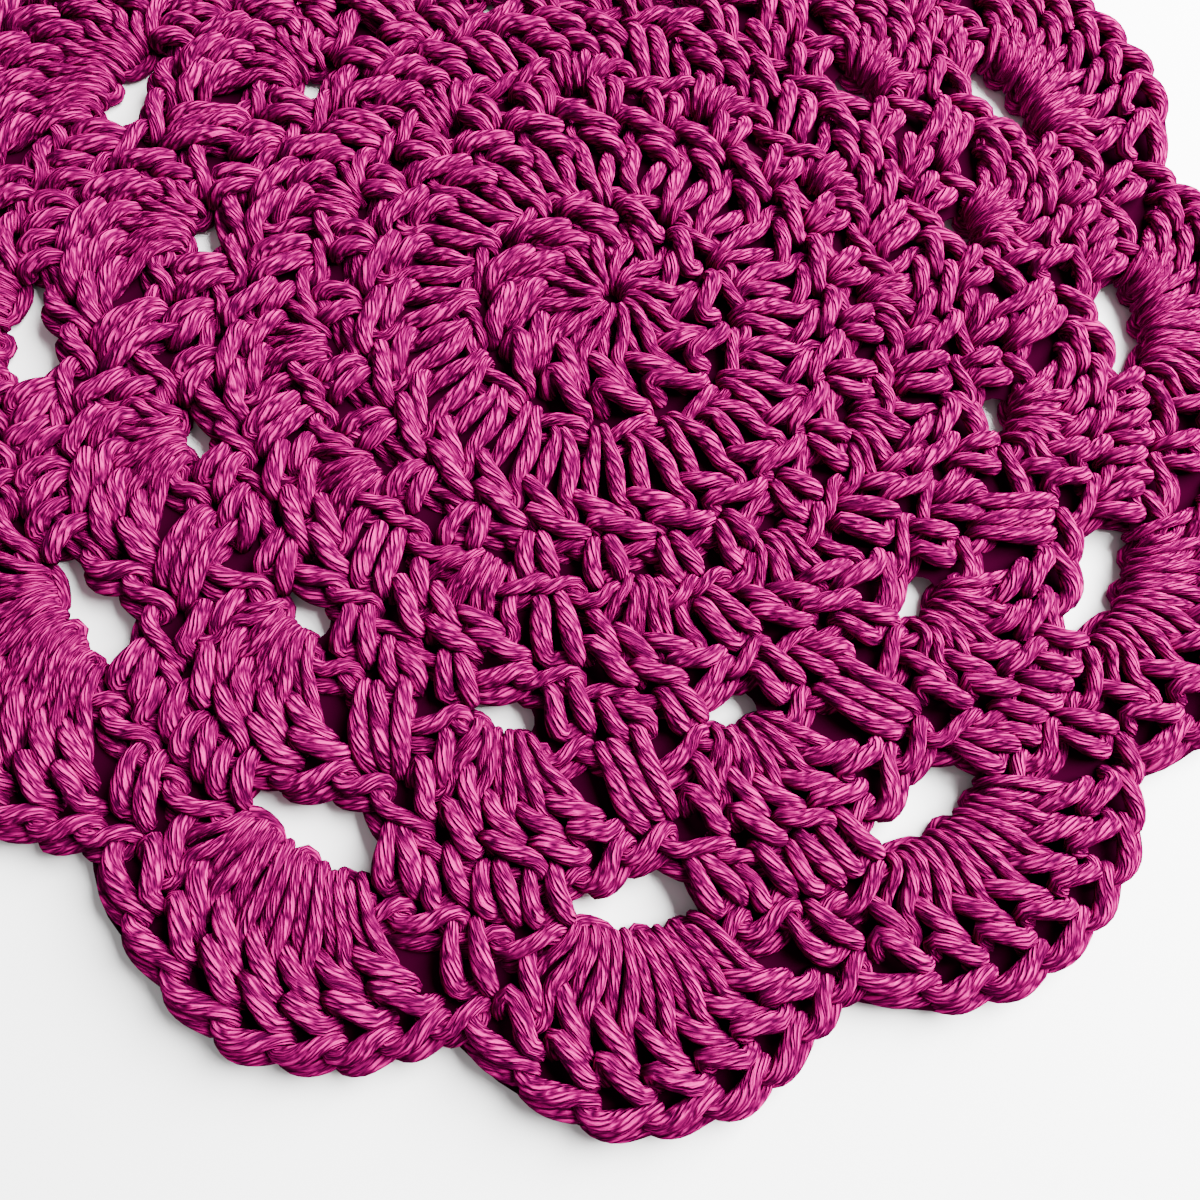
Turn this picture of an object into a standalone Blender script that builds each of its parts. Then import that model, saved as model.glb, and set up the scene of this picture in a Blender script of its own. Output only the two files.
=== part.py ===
"""Round crocheted cotton doily with a scalloped rim, lying flat.

It is one piece of yarn worked in rounds from the middle out. The blank is a turned
profile with a ridge where each round's stitch heads lie. Its points are then moved to
the scallops, the fans and the hand-worked middle, and the gaps that the chain loops
leave open are cut through."""

from math import atan2, cos, degrees, pi, radians, sin, sqrt

import bmesh
import bpy

MM = 0.001

# Driving dimensions, in millimetres
YARN = 1.6                  # thickness of the cotton
FOOT = 2.7                  # height of the work where a round is hooked into the last one
POST = 3.3                  # height over the upright part of a tall stitch
HEAD = 4.2                  # height over the heads of the stitches, two yarns and more
RIBBED_ABOVE = 2.3          # the top side's points are above this height, the rim's below
RIM_RADIUS = 70.6           # from the middle to a scallop's tip
SCALLOP_ARC = 21.5          # radius of a scallop's arc
RING_RADIUS = 1.9           # the starting ring, drawn closed
MIDDLE_SHIFT = 2.6          # the middle was drawn towards +Y while it was worked
SHIFT_REACH = 48.0          # radius at which that pull has faded out
STRETCH_FROM = 44.0         # outside this radius the rounds follow the scallops
UNDERSIDE_MARGIN = 2.2      # the flat underside ends this far inside the rim
STEPS = 144                 # faces around the doily
PETALS = 12

# The rounds from the middle out, each with its outer radius, the number of ribs that its
# stitches or fans make around the doily, and the height of those ribs
ROUNDS = (
    # kind,   outer radius, ribs, rib height
    ("tall",  11.5, 12, 0.30),
    ("tall",  22.7, 24, 0.25),
    ("short", 26.0, 24, 0.20),
    ("tall",  35.6, 12, 0.35),
    ("short", 40.7, 12, 0.20),
    ("tall",  51.2, 12, 0.35),
    ("short", 56.6, 12, 0.25),
    ("tall",  RIM_RADIUS, 12, 0.30),
)
# A rib's crest lies on a scallop's axis in the rounds that have a fan there, and halfway
# between two scallops in the others
RIBS_ON_AXIS = (True, True, True, True, False, False, False, True)

# The scallops, one row each: direction of the tip, its radius, and the gap that the
# chain loop under it leaves, as inner and outer radius and half width
SCALLOPS = (
    # axis,  tip,  gap inside, gap outside, half width
    (19.0,  70.2, 50.2, 54.6, 6.0),
    (48.6,  70.0, 49.6, 54.0, 5.8),
    (78.8,  70.4, 50.0, 54.5, 6.1),
    (109.4, 70.1, 49.9, 54.2, 5.9),
    (139.2, 70.3, 50.1, 54.4, 6.0),
    (169.4, 70.0, 49.8, 54.3, 5.8),
    (200.0, 70.2, 50.0, 54.4, 6.0),
    (230.2, 70.1, 50.3, 54.7, 6.2),
    (260.1, 70.4, 50.8, 55.1, 6.4),
    (289.0, 70.9, 51.4, 55.7, 6.2),
    (318.0, 70.4, 50.6, 55.4, 5.9),
    (348.4, 70.1, 50.0, 54.8, 5.9),
)
NOTCH_GAP = (38.0, 41.0, 2.6)      # small gap between two scallops, as in the table above
GAP_POINTS = 6                     # points along each side of a gap
WELD = 0.00005                     # points closer than this, in metres, are one point


def turn_difference(a, b):
    """Angle from b to a in degrees, between -180 and 180."""
    return (a - b + 180.0) % 360.0 - 180.0


def direction_of(x, y):
    """Direction of a point from the middle, in degrees."""
    return degrees(atan2(y, x))


def pull_at(radius):
    """How far the work at this radius was drawn towards +Y."""
    return MIDDLE_SHIFT * max(0.0, 1.0 - (radius / SHIFT_REACH) ** 2)


def notch_directions():
    """Directions halfway between neighbouring scallops, in degrees."""
    middles = []
    for index, row in enumerate(SCALLOPS):
        after = SCALLOPS[(index + 1) % PETALS]
        middles.append(row[0] + turn_difference(after[0], row[0]) / 2)
    return middles


def nearest_scallop(direction):
    return min(SCALLOPS, key=lambda row: abs(turn_difference(direction, row[0])))


def rim_radius(direction):
    """Distance from the middle to the rim, on the arc of the nearest scallop."""
    axis, tip = nearest_scallop(direction)[:2]
    off = radians(turn_difference(direction, axis))
    arc_middle = tip - SCALLOP_ARC
    return arc_middle * cos(off) + sqrt(SCALLOP_ARC ** 2 - (arc_middle * sin(off)) ** 2)


def profile_points():
    """Half section of the blank, from the middle over the top to the underside."""
    points = [(0.0, FOOT - 0.4), (RING_RADIUS, POST)]
    inner = RING_RADIUS
    for kind, outer, _ribs, _height in ROUNDS:
        wide = outer - inner
        if kind == "tall":
            points.append((inner + 0.12 * wide, FOOT))
            points.append((inner + 0.50 * wide, POST))
            points.append((outer - YARN, HEAD))
        else:
            points.append((inner + 0.20 * wide, FOOT + 0.2))
            points.append((inner + 0.68 * wide, HEAD))
        inner = outer
    points.append((RIM_RADIUS - 0.25 * YARN, 0.80 * HEAD))
    points.append((RIM_RADIUS, 0.50 * HEAD))
    points.append((RIM_RADIUS - 0.35 * YARN, 0.14 * HEAD))
    points.append((RIM_RADIUS - UNDERSIDE_MARGIN, 0.0))
    points.append((0.0, 0.0))
    return points


def turned_blank(collection):
    """The profile turned about Z with a Screw modifier, as a mesh of its own."""
    points = profile_points()
    mesh = bpy.data.meshes.new("profile")
    vertices = [(x * MM, 0.0, z * MM) for x, z in points]
    edges = [(i, i + 1) for i in range(len(points) - 1)]
    mesh.from_pydata(vertices, edges, [])
    profile = bpy.data.objects.new("profile", mesh)
    collection.objects.link(profile)

    screw = profile.modifiers.new("turn", 'SCREW')
    screw.axis = 'Z'
    screw.steps = STEPS
    screw.render_steps = STEPS
    screw.use_merge_vertices = True
    screw.merge_threshold = WELD

    turned = bpy.data.meshes.new_from_object(
        profile.evaluated_get(bpy.context.evaluated_depsgraph_get()))
    turned.name = "doily"
    bpy.data.objects.remove(profile)
    bpy.data.meshes.remove(mesh)
    doily = bpy.data.objects.new("doily", turned)
    collection.objects.link(doily)
    return doily


def rib_height(radius, direction):
    """How far a rib of the round at this radius stands above or below its ridge."""
    for (_kind, outer, ribs, height), on_axis in zip(ROUNDS, RIBS_ON_AXIS):
        if radius <= outer:
            axis = nearest_scallop(direction)[0]
            phase = radians(ribs * turn_difference(direction, axis))
            return height * cos(phase if on_axis else phase + pi)
    return 0.0


def worked_point(x, y, z):
    """A point of the turned blank, moved to where the worked piece has it."""
    radius = sqrt(x * x + y * y)
    if radius * MM < WELD:
        return 0.0, MIDDLE_SHIFT, z
    from_x = x / radius
    from_y = y / radius
    direction = direction_of(x, y)
    if z > RIBBED_ABOVE:
        z += rib_height(radius, direction)
    if radius > STRETCH_FROM:
        share = (radius - STRETCH_FROM) / (RIM_RADIUS - STRETCH_FROM)
        radius = STRETCH_FROM + share * (rim_radius(direction) - STRETCH_FROM)
    return radius * from_x, radius * from_y + pull_at(radius), z


def work_blank(doily):
    """Move the blank's points to the scallops, the fans and the shifted middle."""
    for vertex in doily.data.vertices:
        x, y, z = (part / MM for part in vertex.co)
        vertex.co = [part * MM for part in worked_point(x, y, z)]


def gap_outline(direction, inside, outside, half_width):
    """A pointed gap that follows the round, as points in order around it."""
    middle = (inside + outside) / 2
    half_turn = half_width / middle
    half_height = (outside - inside) / 2
    outline = []
    for side in (1, -1):
        for index in range(GAP_POINTS):
            along = side * (1.0 - 2.0 * index / GAP_POINTS)
            radius = middle + side * half_height * (1.0 - along * along)
            angle = radians(direction) - along * half_turn
            outline.append((radius * cos(angle), radius * sin(angle) + pull_at(radius)))
    return outline


def gap_cutter(collection):
    """All the gaps as one flat curve with a thickness, turned into a mesh."""
    outlines = [gap_outline(axis, inside, outside, half)
                for axis, _tip, inside, outside, half in SCALLOPS]
    outlines += [gap_outline(direction, *NOTCH_GAP) for direction in notch_directions()]

    curve = bpy.data.curves.new("gaps", 'CURVE')
    curve.dimensions = '2D'
    curve.fill_mode = 'BOTH'
    curve.extrude = 2 * HEAD * MM      # well past both sides of the work
    for outline in outlines:
        spline = curve.splines.new('POLY')
        spline.points.add(len(outline) - 1)
        spline.use_cyclic_u = True
        for point, (x, y) in zip(spline.points, outline):
            point.co = (x * MM, y * MM, 0.0, 1.0)
    shape = bpy.data.objects.new("gaps_curve", curve)
    collection.objects.link(shape)

    mesh = bpy.data.meshes.new_from_object(
        shape.evaluated_get(bpy.context.evaluated_depsgraph_get()))
    weld_caps(mesh)
    bpy.data.objects.remove(shape)
    bpy.data.curves.remove(curve)
    cutter = bpy.data.objects.new("gaps", mesh)
    cutter.hide_render = True
    cutter.display_type = 'WIRE'
    collection.objects.link(cutter)
    return cutter


def weld_caps(mesh):
    """Join a filled curve's caps to its walls."""
    bm = bmesh.new()
    bm.from_mesh(mesh)
    bmesh.ops.remove_doubles(bm, verts=bm.verts, dist=WELD)
    bmesh.ops.recalc_face_normals(bm, faces=bm.faces)
    bm.to_mesh(mesh)
    bm.free()


def cut_gaps(doily, cutter):
    cut = doily.modifiers.new("gaps", 'BOOLEAN')
    cut.operation = 'DIFFERENCE'
    cut.solver = 'EXACT'
    cut.object = cutter


def cotton():
    """Magenta mercerised cotton."""
    material = bpy.data.materials.new("magenta_cotton")
    material.use_nodes = True
    shader = material.node_tree.nodes["Principled BSDF"]
    shader.inputs["Base Color"].default_value = (0.60, 0.022, 0.20, 1.0)
    shader.inputs["Roughness"].default_value = 0.8
    shader.inputs["Metallic"].default_value = 0.0
    return material


def new_collection(name):
    collection = bpy.data.collections.new(name)
    bpy.context.scene.collection.children.link(collection)
    return collection


def build():
    for leftover in list(bpy.data.objects):
        bpy.data.objects.remove(leftover)
    pieces = new_collection("lace_doily")
    cutters = new_collection("cutters")

    doily = turned_blank(pieces)
    work_blank(doily)
    cut_gaps(doily, gap_cutter(cutters))
    doily.data.materials.append(cotton())
    doily.data.shade_smooth()


build()
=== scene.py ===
from math import cos, pi, radians, sin

import bmesh
import bpy
import numpy as np
from mathutils import Matrix, Vector


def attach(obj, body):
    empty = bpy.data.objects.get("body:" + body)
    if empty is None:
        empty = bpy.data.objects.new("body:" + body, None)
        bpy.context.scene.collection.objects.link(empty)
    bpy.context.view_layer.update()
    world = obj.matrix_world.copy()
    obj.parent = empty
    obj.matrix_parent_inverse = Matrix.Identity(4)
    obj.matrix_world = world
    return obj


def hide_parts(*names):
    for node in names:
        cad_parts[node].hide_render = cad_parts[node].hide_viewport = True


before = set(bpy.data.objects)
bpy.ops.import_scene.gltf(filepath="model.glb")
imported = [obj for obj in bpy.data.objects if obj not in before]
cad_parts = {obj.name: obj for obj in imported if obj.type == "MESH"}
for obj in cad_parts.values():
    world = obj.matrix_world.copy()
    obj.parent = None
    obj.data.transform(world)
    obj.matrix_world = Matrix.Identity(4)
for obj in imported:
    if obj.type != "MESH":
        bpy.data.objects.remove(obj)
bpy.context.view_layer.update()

# The cotton: a soft, mercerised yarn of many thin plies, a little over a millimetre and
# a half thick, dyed magenta. The whole doily is worked from it with a hook, without a
# cut, so every round below is one run of this yarn. Lengths here are in millimetres.
MM = 0.001
PETALS = 12
SECTOR = 2 * pi / PETALS
SECTOR_DEGREES = 360 / PETALS
BACK = 0.85                # height of a strand that runs behind the work
OVER = 3.75                # height of a strand that passes over the front ones


def at(degrees, radius):
    """A place on the doily, from its direction off a scallop's axis and its radius."""
    turn = radians(degrees)
    return np.array([radius * cos(turn), radius * sin(turn)])


def quarter_turn(vector):
    return np.array([-vector[1], vector[0]])


def degrees_of(place):
    return np.degrees(np.arctan2(place[1], place[0]))


def radius_of(place):
    return float(np.hypot(place[0], place[1]))


class Round:
    """One round of the work in one of the twelve sectors, as the yarn's run of points."""

    def __init__(self, name):
        self.name = name
        self.points = []
        self.stitches = []

    def stitch(self, kind, base, neck, head="covered"):
        self.stitches.append((kind, base, neck, head))

    def work(self):
        """Lay the yarn through every stitch, each hooked to the neck of the last."""
        final = self.stitches[-1][2]
        last = at(degrees_of(final) - SECTOR_DEGREES, radius_of(final))
        for kind, base, neck, head in self.stitches:
            head_loop(self.points, last, neck, head)
            if kind == "tall":
                tall_stitch(self.points, last, base, neck)
            elif kind == "short":
                short_stitch(self.points, base, neck)
            else:
                chain_stitch(self.points, last, neck)
            last = neck
        return np.array(self.points)


# How far a head's loop stands out from the necks, in millimetres, and the heights of its
# front and back strand, where the next round covers it and where it stays in sight
HEADS = {
    # kind:     out,  front, back
    "covered": (1.70, 2.60, 1.60),
    "half":    (2.20, 3.00, 1.70),
    "open":    (2.80, 3.20, 1.80),
    "wide":    (3.60, 3.10, 1.80),
    "rim":     (2.60, 3.30, 1.90),
    "chain":   (1.30, 2.60, 1.60),
}
BOLD = 0.74                # half thickness of the strands that stand out in front
FREE = 0.62                # half thickness of a strand at rest
SNUG = 0.46                # half thickness where many strands share one hole


def head_loop(points, last, neck, head):
    """The loop that lies along the edge from the last neck and hugs this one."""
    run = neck - last
    pitch = np.linalg.norm(run)
    along = run / pitch
    out = -quarter_turn(along)
    reach, front, back = HEADS[head]
    rows = (
        # along, outwards, height
        (0.05, 0.35 * reach, 1.9),
        (0.10 * pitch, 0.72 * reach, front - 0.4),
        (0.38 * pitch, 0.72 * reach, front),
        (0.72 * pitch, 0.46 * reach, front),
        (1.00 * pitch, 0.16 * reach, front - 0.2),
        (1.00 * pitch + 0.65, 0.00, 2.3),
        (1.00 * pitch + 0.75, 0.35 * reach, 1.6),
        (1.00 * pitch + 0.10, 0.75 * reach, back - 0.1),
        (0.65 * pitch, 1.00 * reach, back),
        (0.30 * pitch, 1.04 * reach, back),
        (-0.10, 0.82 * reach, 1.4),
        (-0.50, 0.40 * reach, BACK),
    )
    for a, o, z in rows:
        points.append((*(last + along * a + out * o), z, FREE))


START_RING = 5.0           # stitches with their foot inside this radius share the ring
OUTER_FANS = 40.0          # outside this radius the slanting strands are steeper
LEAST_LEFT = 1.9           # how far the middle neck lies to the left of the top one
MOST_LEFT = 5.0
RING_LEFT = 2.8
FRONT_HEIGHT = 3.0         # a slanting strand above this height stands out


def tall_stitch(points, last, base, neck):
    """Yarn over, draw up a loop, and draw through two loops twice."""
    axis = neck - base
    height = np.linalg.norm(axis)
    up = axis / height
    side = quarter_turn(up)
    pitch = np.linalg.norm(neck - last)
    if radius_of(base) > OUTER_FANS:
        down = min(0.48 * height, 4.2)
        left = min(MOST_LEFT, max(LEAST_LEFT, 0.50 * pitch))
    else:
        down = min(0.42 * height, 3.4 + 0.6 * max(0.0, pitch - 4.8))
        left = min(MOST_LEFT, max(LEAST_LEFT, 0.66 * pitch))
    if radius_of(base) <= START_RING:
        left = RING_LEFT
    wide = min(1.6, max(0.9, pitch / 4.4))
    middle = neck - up * down - side * left
    rise = middle - base
    bend = neck - up * (down + 1.3) - side * 0.6

    def near_neck(x, o, z):
        points.append((*(neck + up * o + side * x), z, FREE))

    def near_middle(x, o, z):
        points.append((*(middle + up * o + side * x), z, FREE))

    def slant(share, o, z):
        half = BOLD if z > FRONT_HEIGHT else FREE
        points.append((*(middle + (neck - middle) * share + up * o), z, half))

    def left_leg(share, x, z):
        points.append((*(base + rise * share + side * x), z, SNUG + 0.10 * share * wide))

    def right_leg(share, x, z):
        points.append((*(base + (bend - base) * share + side * x), z, SNUG + 0.14 * share * wide))

    def foot(x, o, z):
        points.append((*(base + up * o + side * x), z, SNUG))

    # the yarn over: down behind the work, then slanting across the front
    slant(0.80, -0.5, BACK)
    slant(0.86, -1.0, 1.2)
    slant(0.72, -1.15, 2.0)
    slant(0.50, -1.20, 3.1)
    slant(0.25, -1.60, 3.5)
    slant(0.05, -2.10, 3.3)
    slant(-0.12, -2.60, 2.3)
    slant(-0.10, -3.00, 1.2)
    left_leg(0.30, 0.4, BACK)
    # the drawn-up loop: out of the hole, up the front, across behind and down again
    foot(-0.36, -0.95, 1.5)
    foot(-0.42, -0.70, 2.8)
    foot(-0.46, 0.60, 3.2)
    left_leg(0.28, -0.40 * wide, 3.1)
    left_leg(0.52, -0.25 * wide, 2.7)
    near_middle(0.10, -1.50, 1.9)
    near_middle(0.90, -0.80, 1.4)
    slant(0.50, -0.90, 1.3)
    slant(0.82, -0.90, 1.9)
    near_neck(-0.70, -2.60, 2.1)
    right_leg(0.97, 0.10, 2.8)
    right_leg(0.72, 0.40 * wide, 3.2)
    right_leg(0.40, 0.55 * wide, 3.2)
    foot(0.46, 0.60, 3.2)
    foot(0.42, -0.70, 2.7)
    foot(0.36, -0.95, 1.4)
    # up behind, out beside the middle neck, and over into the slanting front strand
    left_leg(0.25, 0.2, BACK)
    left_leg(0.70, -0.4, BACK)
    near_middle(-0.50, 0.90, BACK)
    near_middle(-0.60, 2.20, 1.6)
    near_middle(-0.90, 1.40, 2.7)
    near_middle(-0.70, 0.30, 3.3)
    slant(0.10, -0.05, 3.6)
    slant(0.32, 0.05, OVER)
    slant(0.60, 0.15, OVER + 0.1)
    slant(0.86, 0.05, OVER - 0.1)
    near_neck(0.30, -0.10, 2.9)
    near_neck(0.55, 0.10, 1.9)
    near_neck(-0.10, 0.30, 1.2)
    # up behind to the top neck
    slant(0.60, 0.20, BACK)
    slant(0.80, -0.20, BACK)
    near_neck(-0.05, -0.3, 1.2)


LONG_STITCH = 6.8          # a short stitch longer than this shows a third strand
LONG_SPREAD = 1.35         # and its strands lie further apart by this share
POST = BOLD + 0.08         # half thickness of a short stitch's upright strands


def short_stitch(points, base, neck):
    """Draw up a loop, and draw through both loops."""
    axis = neck - base
    height = np.linalg.norm(axis)
    up = axis / height
    side = quarter_turn(up)
    spread = LONG_SPREAD if height > LONG_STITCH else 1.0

    def post(x, v, z):
        points.append((*(base + axis * v + side * x), z, POST))

    def foot(x, o, z):
        points.append((*(base + up * o + side * x), z, FREE))

    post(-0.9, 0.55, BACK)
    post(-0.5, 0.20, BACK)
    foot(-0.60 * spread, -1.00, 1.5)
    foot(-0.80 * spread, -0.75, 2.9)
    foot(-1.10 * spread, 0.50, 3.4)
    post(-1.40 * spread, 0.45, 3.4)
    post(-1.35 * spread, 0.72, 2.9)
    post(-0.80, 0.88, 1.9)
    if height > LONG_STITCH:
        post(-0.80, 0.60, BACK)
        foot(-0.30, -0.90, 1.5)
        foot(-0.30, -0.70, 2.9)
        post(-0.55, 0.30, 3.4)
        post(-0.50, 0.68, 3.2)
        post(-0.20, 0.86, 2.2)
    post(0.15, 0.90, 1.4)
    foot(1.10, height - 0.10, 1.7)
    foot(1.10, height - 0.45, 2.8)
    post(1.00 * spread, 0.66, OVER - 0.1)
    post(0.85 * spread, 0.35, 3.5)
    foot(0.68, -0.75, 2.8)
    foot(0.50, -1.00, 1.5)
    post(0.25, 0.25, BACK)
    post(0.05, 0.60, BACK)
    foot(-0.05, height - 0.50, 1.2)


def chain_stitch(points, last, neck):
    """Draw the yarn through the one loop, which leaves a bump behind."""
    run = neck - last
    along = run / np.linalg.norm(run)
    out = -quarter_turn(along)
    pitch = np.linalg.norm(run)
    rows = (
        # along, outwards, height
        (0.25 * pitch, -0.35, 1.1),
        (0.70 * pitch, -0.35, 1.1),
        (pitch - 0.1, -0.25, 1.3),
    )
    for a, o, z in rows:
        points.append((*(last + along * a + out * o), z, FREE))


# Round 1: tall stitches into a ring that is drawn closed, one for each scallop.
round_1 = Round("round_1")
round_1.stitch("tall", at(-6, 1.3), at(16, 12.2), "half")

# Round 2: two tall stitches in the head of each one of round 1.
round_2 = Round("round_2")
round_2.stitch("tall", at(-4.5, 13.2), at(7.5, 23.2))
round_2.stitch("tall", at(10.5, 13.2), at(22.5, 23.2))

# Round 3: a short stitch in every head, and a chain between them for room.
round_3 = Round("round_3")
round_3.stitch("short", at(-4.4, 23.8), at(-2.0, 27.4), "open")
round_3.stitch("chain", None, at(5.8, 27.4), "chain")
round_3.stitch("short", at(11.0, 23.8), at(13.6, 27.4), "open")
round_3.stitch("chain", None, at(21.0, 27.4), "chain")

# Round 4: a fan of three tall stitches in one chain's gap, a short one in the next.
round_4 = Round("round_4")
round_4.stitch("tall", at(1.6, 27.2), at(-0.6, 35.6))
round_4.stitch("tall", at(4.0, 27.1), at(7.2, 36.0))
round_4.stitch("tall", at(6.5, 27.2), at(15.0, 35.0), "open")
round_4.stitch("short", at(16.6, 29.3), at(20.6, 34.8), "open")

# Round 5: three short stitches over each fan, then two chains over the short stitch.
round_5 = Round("round_5")
round_5.stitch("short", at(-9.0, 36.4), at(-6.6, 40.2), "half")
round_5.stitch("short", at(-1.6, 37.0), at(0.6, 40.4))
round_5.stitch("short", at(6.6, 36.8), at(8.7, 40.2), "wide")
round_5.stitch("chain", None, at(13.8, 41.5), "chain")
round_5.stitch("chain", None, at(18.8, 41.3), "chain")

# Round 6: a fan of five tall stitches around the two chains, then a short one.
round_6 = Round("round_6")
round_6.stitch("tall", at(12.4, 41.6), at(8.9, 49.2), "open")
round_6.stitch("tall", at(13.7, 41.7), at(13.9, 50.6))
round_6.stitch("tall", at(15.0, 41.8), at(19.4, 51.0))
round_6.stitch("tall", at(16.3, 41.7), at(24.5, 49.8))
round_6.stitch("tall", at(17.6, 41.6), at(28.6, 47.6), "open")
round_6.stitch("short", at(28.7, 41.0), at(33.4, 47.2), "open")

# Round 7: four short stitches over each fan, then a long loop of three chains.
round_7 = Round("round_7")
round_7.stitch("short", at(7.1, 50.8), at(9.0, 54.8), "half")
round_7.stitch("short", at(11.3, 51.4), at(13.3, 55.0), "open")
round_7.stitch("short", at(15.7, 51.5), at(17.7, 55.2))
round_7.stitch("short", at(20.1, 51.0), at(22.1, 55.0), "open")
round_7.stitch("chain", None, at(28.4, 55.8), "chain")
round_7.stitch("chain", None, at(32.4, 56.2), "chain")
round_7.stitch("chain", None, at(36.2, 55.7), "chain")

# Round 8: seven tall stitches around the chains make a scallop, and a short stitch
# pulls the edge in between two of them.
round_8 = Round("round_8")
round_8.stitch("tall", at(-5.6, 55.6), at(-8.3, 64.6), "rim")
round_8.stitch("tall", at(-3.7, 55.9), at(-4.0, 66.4), "rim")
round_8.stitch("tall", at(-1.9, 56.1), at(0.2, 67.2), "rim")
round_8.stitch("tall", at(-0.1, 56.2), at(4.1, 67.2), "rim")
round_8.stitch("tall", at(1.7, 56.1), at(7.7, 66.2), "rim")
round_8.stitch("tall", at(3.5, 55.9), at(11.0, 64.3), "rim")
round_8.stitch("tall", at(5.3, 55.6), at(13.6, 62.1), "rim")
round_8.stitch("short", at(14.6, 56.2), at(16.6, 60.6), "rim")

ROUNDS = (round_1, round_2, round_3, round_4, round_5, round_6, round_7, round_8)

# Drawing up: the maker pulls every loop snug as it is worked, so that the strands come
# to lie against each other. The yarn of one sector is settled here that way, with its
# neighbours taken as turned copies of itself.
STEP = 0.80                # spacing of the points while the yarn settles
LOW = 0.80                 # middle of a strand that lies on the table
TOP = 3.95                 # highest middle of a strand
SETTLE_ROUNDS = 80
LOOK_AGAIN = 4             # rounds after which the neighbours are looked for again
NEAR = 2.0                 # strands nearer than this may push each other
CELL = 3.0                 # size of the cells in which neighbours are looked for
OWN_POINTS = 3             # points this near along the yarn aren't neighbours
PUSH = 0.28                # share of an overlap that one round undoes
FURTHEST_MOVE = 0.35
DRAWN_UP = 0.97            # length of the drawn-up yarn, as a share of its run
LENGTH_ROUNDS = 3          # how often each round evens the yarn's length, and how firmly
LENGTH_HOLD = 0.35
EASE = 0.08                # share of a kink that one round takes out
STAY = (0.03, 0.03, 0.04)  # pull back to the place where the stitch was laid
ROOM = 2.2                 # the yarn swells into the room within this distance
SOFTNESS = 1.15            # touching strands press into each other by this share
FULLEST = 0.97             # half thickness of the yarn at its loosest and its tightest
TIGHTEST = 0.48
EVEN_ROUNDS = 3            # how often the swelling is evened out along the yarn


def turned(points, sectors):
    """The points, turned about the middle by so many sectors."""
    c, s = cos(sectors * SECTOR), sin(sectors * SECTOR)
    out = points.copy()
    out[:, 0] = c * points[:, 0] - s * points[:, 1]
    out[:, 1] = s * points[:, 0] + c * points[:, 1]
    return out


def evenly_spaced(closed, step):
    """The same line with its points this far apart, without the point that closes it."""
    steps = np.linalg.norm(np.diff(closed[:, :3], axis=0), axis=1)
    lengths = np.concatenate([[0], np.cumsum(steps)])
    count = int(round(lengths[-1] / step))
    want = np.linspace(0, lengths[-1], count, endpoint=False)
    return np.stack([np.interp(want, lengths, column) for column in closed.T], 1)


CURVE_POINTS = 12          # points between two control points


def smooth_run(controls):
    """The yarn's run through its control points, closed onto the next sector."""
    padded = np.vstack([turned(controls[-1:], -1), controls, turned(controls[:3], 1)])
    pieces = []
    for index in range(1, len(controls) + 1):
        a, b, c, d = padded[index - 1:index + 3]
        t = np.linspace(0, 1, CURVE_POINTS, endpoint=False)[:, None]
        pieces.append(0.5 * (2 * b + (c - a) * t + (2 * a - 5 * b + 4 * c - d) * t ** 2
                             + (3 * b - a - 3 * c + d) * t ** 3))
    dense = np.vstack(pieces)
    return evenly_spaced(np.vstack([dense, turned(dense[:1], 1)]), STEP)


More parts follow.
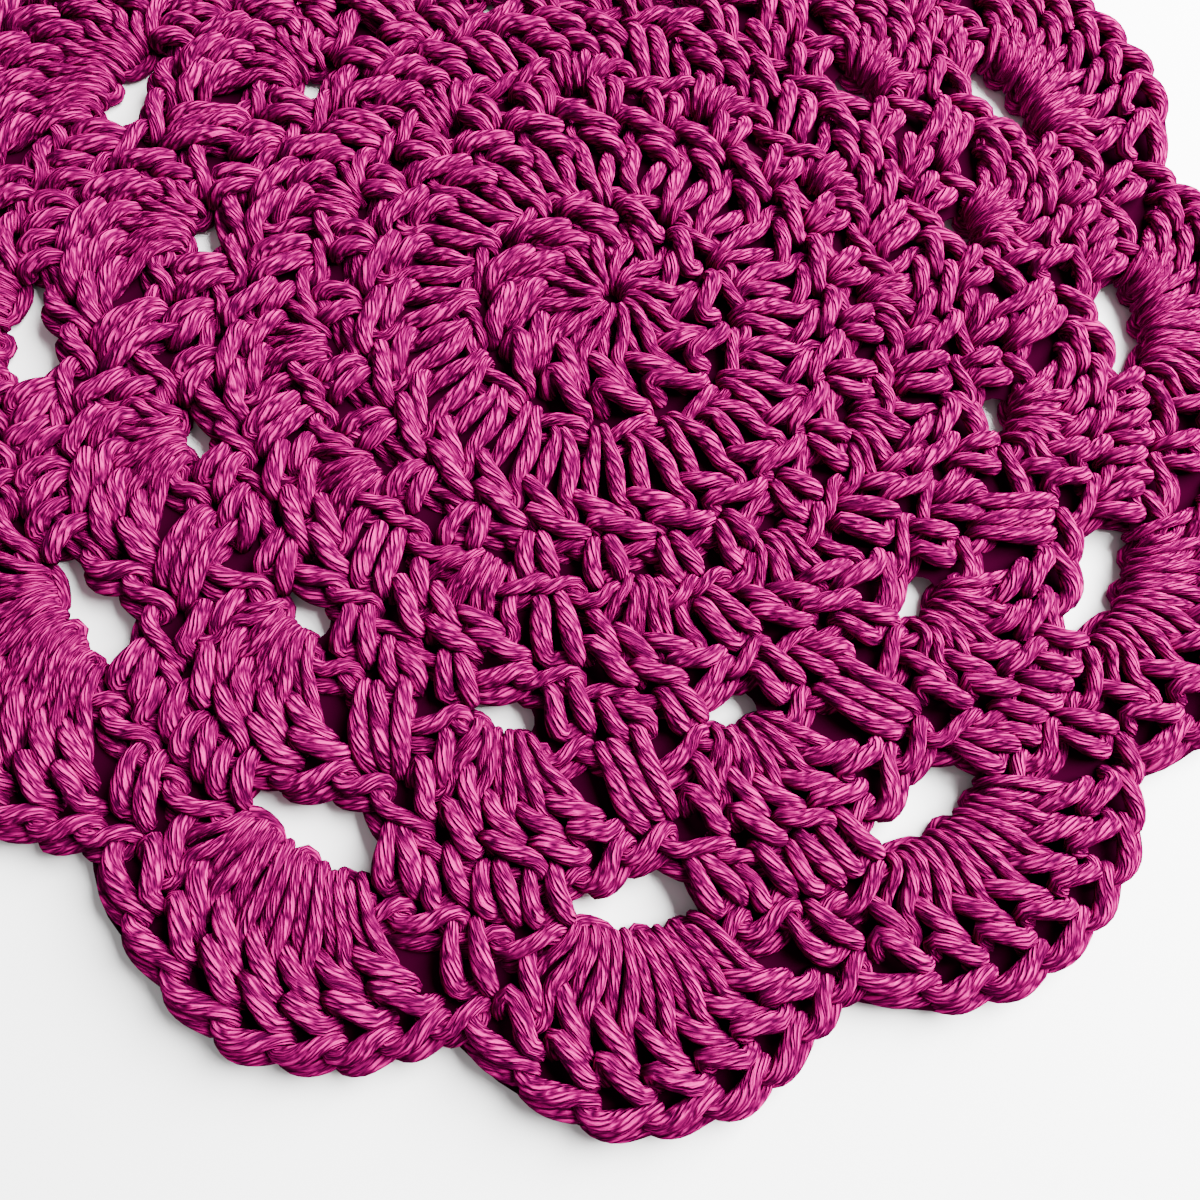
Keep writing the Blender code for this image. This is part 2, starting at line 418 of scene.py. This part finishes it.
class Yarn:
    """The points of all rounds in one sector, and who their neighbours are."""

    def __init__(self, runs):
        self.counts = np.array([len(run) for run in runs])
        self.ends = np.concatenate([[0], np.cumsum(self.counts)])
        self.owner = np.repeat(np.arange(len(runs)), self.counts)
        self.order = np.concatenate([np.arange(len(run)) for run in runs])
        self.points = np.vstack(runs)[:, :3]
        self.half = np.vstack(runs)[:, 3]
        total = len(self.points)
        self.after = np.arange(total) + 1
        self.after[self.ends[1:] - 1] = self.ends[:-1]
        self.crosses = np.zeros(total, bool)
        self.crosses[self.ends[1:] - 1] = True
        self.before = np.empty(total, int)
        self.before[self.after] = np.arange(total)

    def following(self):
        out = self.points[self.after]
        out[self.crosses] = turned(out[self.crosses], 1)
        return out

    def leading(self):
        out = self.points[self.before]
        first = self.crosses[self.before]
        out[first] = turned(out[first], -1)
        return out

    def pairs(self, reach):
        """Points of different stretches of yarn that come nearer than reach."""
        total = len(self.points)
        copies = np.vstack([self.points, turned(self.points, 1), turned(self.points, -1)])
        cells = np.floor(copies / CELL).astype(int)
        table = {}
        for index, cell in enumerate(map(tuple, cells)):
            table.setdefault(cell, []).append(index)
        first = []
        second = []
        for cell in sorted(set(map(tuple, cells[:total]))):
            mine = np.array([i for i in table[cell] if i < total])
            near = []
            for dx in (-1, 0, 1):
                for dy in (-1, 0, 1):
                    for dz in (-1, 0, 1):
                        near.extend(table.get((cell[0] + dx, cell[1] + dy, cell[2] + dz), ()))
            near = np.array(near)
            gap = np.linalg.norm(copies[mine][:, None] - copies[near][None], axis=2)
            i, j = np.nonzero(gap < reach)
            first.append(mine[i])
            second.append(near[j])
        first = np.concatenate(first)
        second = np.concatenate(second)
        home = second % total
        way = np.array([0, 1, -1])[second // total]
        along = self.order[home] + way * self.counts[self.owner[home]] - self.order[first]
        keep = (self.owner[home] != self.owner[first]) | (np.abs(along) > OWN_POINTS)
        return first[keep], home[keep], way[keep]

    def apart(self, pairs):
        """From each pair's second point to its first, and how long that is."""
        first, home, way = pairs
        c, s = np.cos(way * SECTOR), np.sin(way * SECTOR)
        other = self.points[home]
        x = c * other[:, 0] - s * other[:, 1]
        y = s * other[:, 0] + c * other[:, 1]
        vector = self.points[first] - np.stack([x, y, other[:, 2]], 1)
        return vector, np.linalg.norm(vector, axis=1) + 1e-9

    def settle(self):
        """Let the strands push each other apart while the yarn keeps its length."""
        start = self.points.copy()
        rest = np.linalg.norm(self.following() - self.points, axis=1) * DRAWN_UP
        total = len(self.points)
        for number in range(SETTLE_ROUNDS):
            if number % LOOK_AGAIN == 0:
                pairs = self.pairs(NEAR)
                press = self.half[pairs[0]] + self.half[pairs[1]]
            vector, gap = self.apart(pairs)
            push = np.clip(press - gap, 0, None)
            shove = vector / gap[:, None] * (push * PUSH)[:, None]
            moved = np.stack([np.bincount(pairs[0], shove[:, k], total) for k in range(3)], 1)
            size = np.linalg.norm(moved, axis=1) + 1e-9
            self.points += moved * np.minimum(1.0, FURTHEST_MOVE / size)[:, None]
            for _ in range(LENGTH_ROUNDS):
                step = self.following() - self.points
                size = np.linalg.norm(step, axis=1) + 1e-9
                fix = step * (LENGTH_HOLD * (1 - rest / size))[:, None]
                self.points += fix
                fix[self.crosses] = turned(fix[self.crosses], -1)
                self.points[self.after] -= fix
            self.points += EASE * (0.5 * (self.following() + self.leading()) - self.points)
            self.points += np.array(STAY) * (start - self.points)
            self.points[:, 2] = np.clip(self.points[:, 2], LOW, TOP)

    def thickness(self):
        """Half thickness of the soft yarn: it swells where it has room."""
        pairs = self.pairs(ROOM)
        gap = self.apart(pairs)[1]
        share = self.half[pairs[0]] / (self.half[pairs[0]] + self.half[pairs[1]])
        half = np.full(len(self.points), FULLEST)
        np.minimum.at(half, pairs[0], SOFTNESS * share * gap)
        half = np.clip(half, TIGHTEST, FULLEST)
        for _ in range(EVEN_ROUNDS):
            half = 0.5 * half + 0.25 * (half[self.after] + half[self.before])
        return half


yarn = Yarn([smooth_run(one.work()) for one in ROUNDS])
yarn.settle()
settled = np.hstack([yarn.points, yarn.thickness()[:, None]])
runs = [settled[yarn.ends[k]:yarn.ends[k + 1]] for k in range(len(ROUNDS))]

# Blocking: the damp doily is patted out by hand and left to dry, so no two scallops
# are alike. Each sector takes its own direction and reach, and the middle stays where
# it was drawn towards the far side.
SCALLOPS = (
    # axis,  tip,  how far the gap under it lies outwards
    (19.0,  70.2, -0.3),
    (48.6,  70.0, -0.9),
    (78.8,  70.4, -0.5),
    (109.4, 70.1, -0.7),
    (139.2, 70.3, -0.5),
    (169.4, 70.0, -0.7),
    (200.0, 70.2, -0.5),
    (230.2, 70.1, -0.2),
    (260.1, 70.4, 0.2),
    (289.0, 70.9, 0.85),
    (318.0, 70.4, 0.3),
    (348.4, 70.1, -0.3),
)
EVEN_TIP = 70.3
STRETCH_FROM = 44.0        # outside this radius the rounds follow the scallops' tips
# Radius and share of the gap's shift there, and radius and shift of the middle there
GAP_SHIFT_SHARES = ((40, 0), (51, 1), (57, 1), (70, 0))
MIDDLE_SHIFT = ((0, 2.6), (6, 1.9), (12, 1.3), (23, 0.65), (36, 0.3), (48, 0.0))
# The slow unevenness of hand work, wider than a stitch
WAVES = (
    # waves per mm, size, phase
    (0.19, 0.45, 0.4),
    (0.31, 0.30, 2.1),
    (0.53, 0.20, 4.4),
)


def all_round(run):
    """The twelve sectors of a run, one after the other."""
    return np.vstack([turned(run, number) for number in range(PETALS)])


def blocked(points):
    """Where the points of the even piece lie in the one that was blocked by hand."""
    radius = np.hypot(points[:, 0], points[:, 1])
    turn = np.degrees(np.arctan2(points[:, 1], points[:, 0])) % 360.0
    scallops = np.array(SCALLOPS[-1:] + SCALLOPS + SCALLOPS[:2])
    even = np.arange(-1, PETALS + 2) * SECTOR_DEGREES
    uneven = scallops[:, 0] + np.repeat((-360, 0, 360), (1, PETALS, 2))
    turn = np.interp(turn, even, uneven)
    pull = np.interp(turn, uneven, scallops[:, 1]) / EVEN_TIP
    shift = np.interp(turn, uneven, scallops[:, 2])
    shift = shift * np.interp(radius, *zip(*GAP_SHIFT_SHARES))
    share = np.clip((radius - STRETCH_FROM) / (EVEN_TIP - STRETCH_FROM), 0, 1)
    radius = radius * (1 + share * (pull - 1)) + shift
    x = radius * np.cos(np.radians(turn))
    y = radius * np.sin(np.radians(turn))
    y = y + np.interp(radius, *zip(*MIDDLE_SHIFT))
    for wave, size, phase in WAVES:
        ripple = np.sin(wave * (0.8 * x + 0.6 * y) + phase)
        x = x + size * ripple * np.cos(wave * 0.7 * y + 2 * phase)
        ripple = np.sin(wave * (0.8 * y - 0.6 * x) + 3 * phase)
        y = y + size * ripple * np.cos(wave * 0.7 * x + phase)
    out = points.copy()
    out[:, 0] = x
    out[:, 1] = y
    return out


# The strands themselves: each round's yarn is a soft tube with its plies twisted
# around it. Its map gives the place along the yarn and around it.
SIDES = 12
FEWER_SIDES = 8            # of the longest round's tube
LONG_ROUND = 8000          # points
MESH_STEP = 0.70
DEPTH = 0.72               # half height of a strand that is squeezed from the sides
SWELL = 0.05               # the yarn is spun unevenly by this share
SWELL_WAVES = (0.37, 0.113)
LOWEST = 0.02              # the underside of the lowest strands
MAP_SCALE = 0.1            # the map runs in centimetres along the yarn


def strand(name, points):
    """A tube around a closed run of points."""
    points = evenly_spaced(np.vstack([points, points[:1]]), MESH_STEP)
    half = points[:, 3]
    points = points[:, :3]
    count = len(points)
    around = SIDES if count < LONG_ROUND else FEWER_SIDES
    tangent = np.roll(points, -1, 0) - np.roll(points, 1, 0)
    tangent /= np.linalg.norm(tangent, axis=1)[:, None]
    normals = np.empty_like(points)
    normal = np.cross(tangent[0], (0, 0, 1.0))
    for index in range(count):
        normal = normal - tangent[index] * normal.dot(tangent[index])
        normal = normal / np.linalg.norm(normal)
        normals[index] = normal
    across = np.cross(tangent, normals)
    number = np.arange(count)
    short_wave, long_wave = SWELL_WAVES
    swell = 1 + SWELL * np.sin(number * short_wave) * np.sin(number * long_wave + 1.0)
    angles = np.arange(around) * 2 * pi / around
    ring = (normals[:, None] * np.cos(angles)[None, :, None]
            + across[:, None] * np.sin(angles)[None, :, None])
    size = np.stack([half, half, np.maximum(half, DEPTH)], 1) * swell[:, None]
    skin = points[:, None] + ring * size[:, None, :]
    skin[:, :, 2] = np.maximum(skin[:, :, 2], LOWEST)
    vertices = skin.reshape(-1, 3) * MM

    row = number[:, None] * around
    after = np.roll(number, -1)[:, None] * around
    side = np.arange(around)[None]
    beside = (side + 1) % around
    faces = np.stack([row + side, row + beside, after + beside, after + side], 2).reshape(-1, 4)

    mesh = bpy.data.meshes.new(name)
    mesh.vertices.add(len(vertices))
    mesh.vertices.foreach_set("co", vertices.ravel())
    mesh.loops.add(faces.size)
    mesh.loops.foreach_set("vertex_index", faces.ravel().astype(np.int32))
    mesh.polygons.add(len(faces))
    mesh.polygons.foreach_set("loop_start", np.arange(0, faces.size, 4, dtype=np.int32))
    mesh.update()
    mesh.validate()
    uv = mesh.uv_layers.new(name="yarn")
    turn_low = np.broadcast_to(side / around, (count, around))
    turn_high = turn_low + 1 / around
    place_low = np.broadcast_to(number[:, None] * MESH_STEP * MAP_SCALE, (count, around))
    place_high = place_low + MESH_STEP * MAP_SCALE
    corners = np.stack([
        np.stack([turn_low, place_low], 2), np.stack([turn_high, place_low], 2),
        np.stack([turn_high, place_high], 2), np.stack([turn_low, place_high], 2)], 2)
    uv.data.foreach_set("uv", corners.ravel().astype(np.float32))
    mesh.polygons.foreach_set("use_smooth", np.ones(len(faces), bool))
    piece = bpy.data.objects.new(name, mesh)
    bpy.context.scene.collection.objects.link(piece)
    return piece


# The grooves' colour is painted shade, the dark where the plies shade each other; the plies keep the
# yarn's own magenta.
PAINTED_GROOVE_SHADE = (0.020, 0.0, 0.0095, 1)
PLY_COLOUR = (0.300, 0.0, 0.108, 1)
PLY_RELIEF = 0.00030       # depth of the grooves between the plies, in metres


def cotton():
    """Magenta cotton: twisted plies, with painted shade in the grooves between them."""
    material = bpy.data.materials.new("magenta_cotton")
    material.use_nodes = True
    nodes = material.node_tree.nodes
    links = material.node_tree.links
    shader = nodes["Principled BSDF"]
    shader.inputs["Roughness"].default_value = 0.62
    shader.inputs["Specular IOR Level"].default_value = 0.0
    place = nodes.new("ShaderNodeUVMap")
    place.uv_map = "yarn"
    split = nodes.new("ShaderNodeSeparateXYZ")
    links.new(place.outputs["UV"], split.inputs[0])

    def math(operation, first, second):
        node = nodes.new("ShaderNodeMath")
        node.operation = operation
        for socket, value in zip(node.inputs, (first, second)):
            if isinstance(value, (int, float)):
                socket.default_value = value
            elif value is not None:
                links.new(value, socket)
        return node.outputs[0]

    around = split.outputs["X"]
    along = split.outputs["Y"]

    def skin(twist, stretch):
        """Places on the yarn's skin that turn with its twist and have no seam."""
        turn = math('MULTIPLY', math('ADD', around, math('MULTIPLY', along, twist)), 2 * pi)
        joined = nodes.new("ShaderNodeCombineXYZ")
        links.new(math('COSINE', turn, None), joined.inputs[0])
        links.new(math('SINE', turn, None), joined.inputs[1])
        links.new(math('MULTIPLY', along, stretch), joined.inputs[2])
        return joined.outputs[0]

    soft = nodes.new("ShaderNodeTexNoise")
    soft.inputs["Scale"].default_value = 1.6
    soft.inputs["Detail"].default_value = 1.0
    links.new(skin(0.5, 4.0), soft.inputs["Vector"])
    uneven = math('SUBTRACT', soft.outputs["Fac"], 0.5)
    # short lengths of ply that rise to the surface and dive again
    plies = nodes.new("ShaderNodeTexVoronoi")
    plies.feature = 'DISTANCE_TO_EDGE'
    plies.inputs["Scale"].default_value = 1.9
    plies.inputs["Randomness"].default_value = 0.9
    links.new(skin(0.75, 2.6), plies.inputs["Vector"])
    dome = nodes.new("ShaderNodeMapRange")
    dome.interpolation_type = 'SMOOTHSTEP'
    dome.inputs["From Max"].default_value = 0.30
    links.new(plies.outputs["Distance"], dome.inputs[0])
    fibres = nodes.new("ShaderNodeTexNoise")
    fibres.inputs["Scale"].default_value = 7.0
    fibres.inputs["Detail"].default_value = 2.0
    links.new(skin(0.75, 1.6), fibres.inputs["Vector"])
    loose = math('SUBTRACT', fibres.outputs["Fac"], 0.5)
    relief = math('ADD', dome.outputs[0], math('MULTIPLY', uneven, 0.5))
    relief = math('ADD', relief, math('MULTIPLY', loose, 0.9))
    bump = nodes.new("ShaderNodeBump")
    bump.inputs["Strength"].default_value = 1.0
    bump.inputs["Distance"].default_value = PLY_RELIEF
    links.new(relief, bump.inputs["Height"])
    links.new(bump.outputs[0], shader.inputs["Normal"])
    # Painted shade: the low places of the relief take the groove shade, and the relief's random
    # unevenness shows as the yarn's own uneven tone.
    tone = nodes.new("ShaderNodeMapRange")
    tone.inputs["From Min"].default_value = -0.08
    tone.inputs["From Max"].default_value = 1.05
    links.new(relief, tone.inputs[0])
    # inputs 6 and 7 of the mix are its two colours, and output 2 is the mixed one
    mix = nodes.new("ShaderNodeMix")
    mix.data_type = 'RGBA'
    mix.inputs[6].default_value = PAINTED_GROOVE_SHADE
    mix.inputs[7].default_value = PLY_COLOUR
    links.new(tone.outputs[0], mix.inputs[0])
    links.new(mix.outputs[2], shader.inputs["Base Color"])
    return material


magenta = cotton()
for one, run in zip(ROUNDS, runs):
    piece = strand(one.name, blocked(all_round(run)))
    piece.data.materials.append(magenta)
    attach(piece, "root")
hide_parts("doily")

# Behind the open spots between its strands, the work shows only its own deep shade: a
# thin sheet of painted deep shade lies halfway up in it, standing in for the shaded
# strands behind, with the gaps of the two chain loops left open.
SHADE_SHEET_HEIGHT = 1.80
SHADE_SHEET_MARGIN = 0.8
SCALLOP_ARC = 21.5
RIM_POINTS = 240
GAP_POINTS = 20
# The gaps: inner radius, outer radius and half width
LARGE_GAP = (50.2, 56.0, 6.5)
SMALL_GAP = (37.6, 41.5, 2.6)
SMALL_GAP_AXIS = 14.2      # degrees between a scallop's axis and the next small gap


def gap_outline(degrees, inside, outside, half_width):
    """A rounded gap in the even piece, as points in order around it."""
    middle = (inside + outside) / 2
    half = (outside - inside) / 2
    turn = np.arange(GAP_POINTS) * 2 * pi / GAP_POINTS
    radius = middle + half * np.sin(turn)
    angle = np.radians(degrees) + half_width / middle * np.cos(turn)
    return np.stack([radius * np.cos(angle), radius * np.sin(angle), np.full(GAP_POINTS, SHADE_SHEET_HEIGHT)], 1)


def rim_outline():
    """The even piece's rim less the margin, on the arcs of the twelve scallops."""
    degrees = np.arange(RIM_POINTS) * 360 / RIM_POINTS
    half_sector = SECTOR_DEGREES / 2
    off = np.radians((degrees + half_sector) % SECTOR_DEGREES - half_sector)
    middle = EVEN_TIP - SCALLOP_ARC
    rim = middle * np.cos(off) + np.sqrt(SCALLOP_ARC ** 2 - (middle * np.sin(off)) ** 2)
    radius = rim - SHADE_SHEET_MARGIN
    angle = np.radians(degrees)
    return np.stack([radius * np.cos(angle), radius * np.sin(angle), np.full(RIM_POINTS, SHADE_SHEET_HEIGHT)], 1)


def plain(name, colour, roughness):
    """A material of one colour."""
    material = bpy.data.materials.new(name)
    material.use_nodes = True
    shader = material.node_tree.nodes["Principled BSDF"]
    shader.inputs["Base Color"].default_value = colour
    shader.inputs["Roughness"].default_value = roughness
    return material


outlines = [rim_outline()]
for number in range(PETALS):
    axis = SECTOR_DEGREES * number
    outlines.append(gap_outline(axis, *LARGE_GAP))
    outlines.append(gap_outline(axis + SMALL_GAP_AXIS, *SMALL_GAP))
shape = bmesh.new()
for outline in outlines:
    corners = [shape.verts.new(Vector(p) * MM) for p in blocked(outline)]
    for index, corner in enumerate(corners):
        shape.edges.new((corner, corners[(index + 1) % len(corners)]))
bmesh.ops.triangle_fill(shape, use_beauty=True, edges=shape.edges[:])
bmesh.ops.recalc_face_normals(shape, faces=shape.faces)
shade_sheet_mesh = bpy.data.meshes.new("shade_sheet")
shape.to_mesh(shade_sheet_mesh)
shape.free()
shade_sheet = bpy.data.objects.new("shade_sheet", shade_sheet_mesh)
bpy.context.scene.collection.objects.link(shade_sheet)
# The sheet's near-black magenta is painted deep shade.
shade = plain("painted_deep_shade", (0.012, 0.0, 0.0046, 1), 0.9)
shade.node_tree.nodes["Principled BSDF"].inputs["Specular IOR Level"].default_value = 0.0
shade_sheet_mesh.materials.append(shade)
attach(shade_sheet, "root")

# The table top is a plain pale surface. A window at the back on the right gives soft
# light, and the pale room around it fills the shade.
TABLE_WIDTH = 3.0
WINDOW_PLACE = (0.20, 0.16, 0.23)
WINDOW_WIDTH = 0.32
WINDOW_POWER = 23.5
ROOM_LIGHT = 0.52

bpy.ops.mesh.primitive_plane_add(size=TABLE_WIDTH, location=(0, 0, 0))
table = bpy.context.object
table.name = "table_top"
table.data.materials.append(plain("pale_surface", (0.72, 0.72, 0.72, 1), 0.6))

window_light = bpy.data.lights.new("window", 'AREA')
window_light.energy = WINDOW_POWER
window_light.size = WINDOW_WIDTH
window = bpy.data.objects.new("window", window_light)
window.location = WINDOW_PLACE
window.rotation_euler = Vector(WINDOW_PLACE).to_track_quat('Z', 'Y').to_euler()
bpy.context.scene.collection.objects.link(window)
world = bpy.data.worlds.new("studio")
world.use_nodes = True
world.node_tree.nodes["Background"].inputs["Color"].default_value = (1, 1, 1, 1)
world.node_tree.nodes["Background"].inputs["Strength"].default_value = ROOM_LIGHT
bpy.context.scene.world = world

# The camera looks down from the front, close to the doily and a little turned. Its
# place is set out from the ring that the large gaps' middles lie on.
GAP_RING = 53.4
TARGET = Vector((0.1392 * GAP_RING * MM, -0.4871 * GAP_RING * MM, 0.0))
DISTANCE = 1.690 * GAP_RING * MM
ELEVATION = radians(74.16)
ROLL = radians(16.43)
SENSOR_WIDTH = 36.0
FRAME_PIXELS = 1200
FOCAL_PIXELS = 986.4
camera_data = bpy.data.cameras.new("camera")
camera_data.lens = FOCAL_PIXELS / FRAME_PIXELS * SENSOR_WIDTH
camera_data.sensor_width = SENSOR_WIDTH
camera_data.sensor_fit = 'HORIZONTAL'
camera_data.clip_start = 0.01
camera = bpy.data.objects.new("camera", camera_data)
bpy.context.scene.collection.objects.link(camera)
away = Vector((0.0, -cos(ELEVATION), sin(ELEVATION)))
look = away.to_track_quat('Z', 'Y').to_matrix().to_4x4()
place = Matrix.Translation(TARGET + away * DISTANCE)
camera.matrix_world = place @ look @ Matrix.Rotation(ROLL, 4, 'Z')
bpy.context.scene.camera = camera
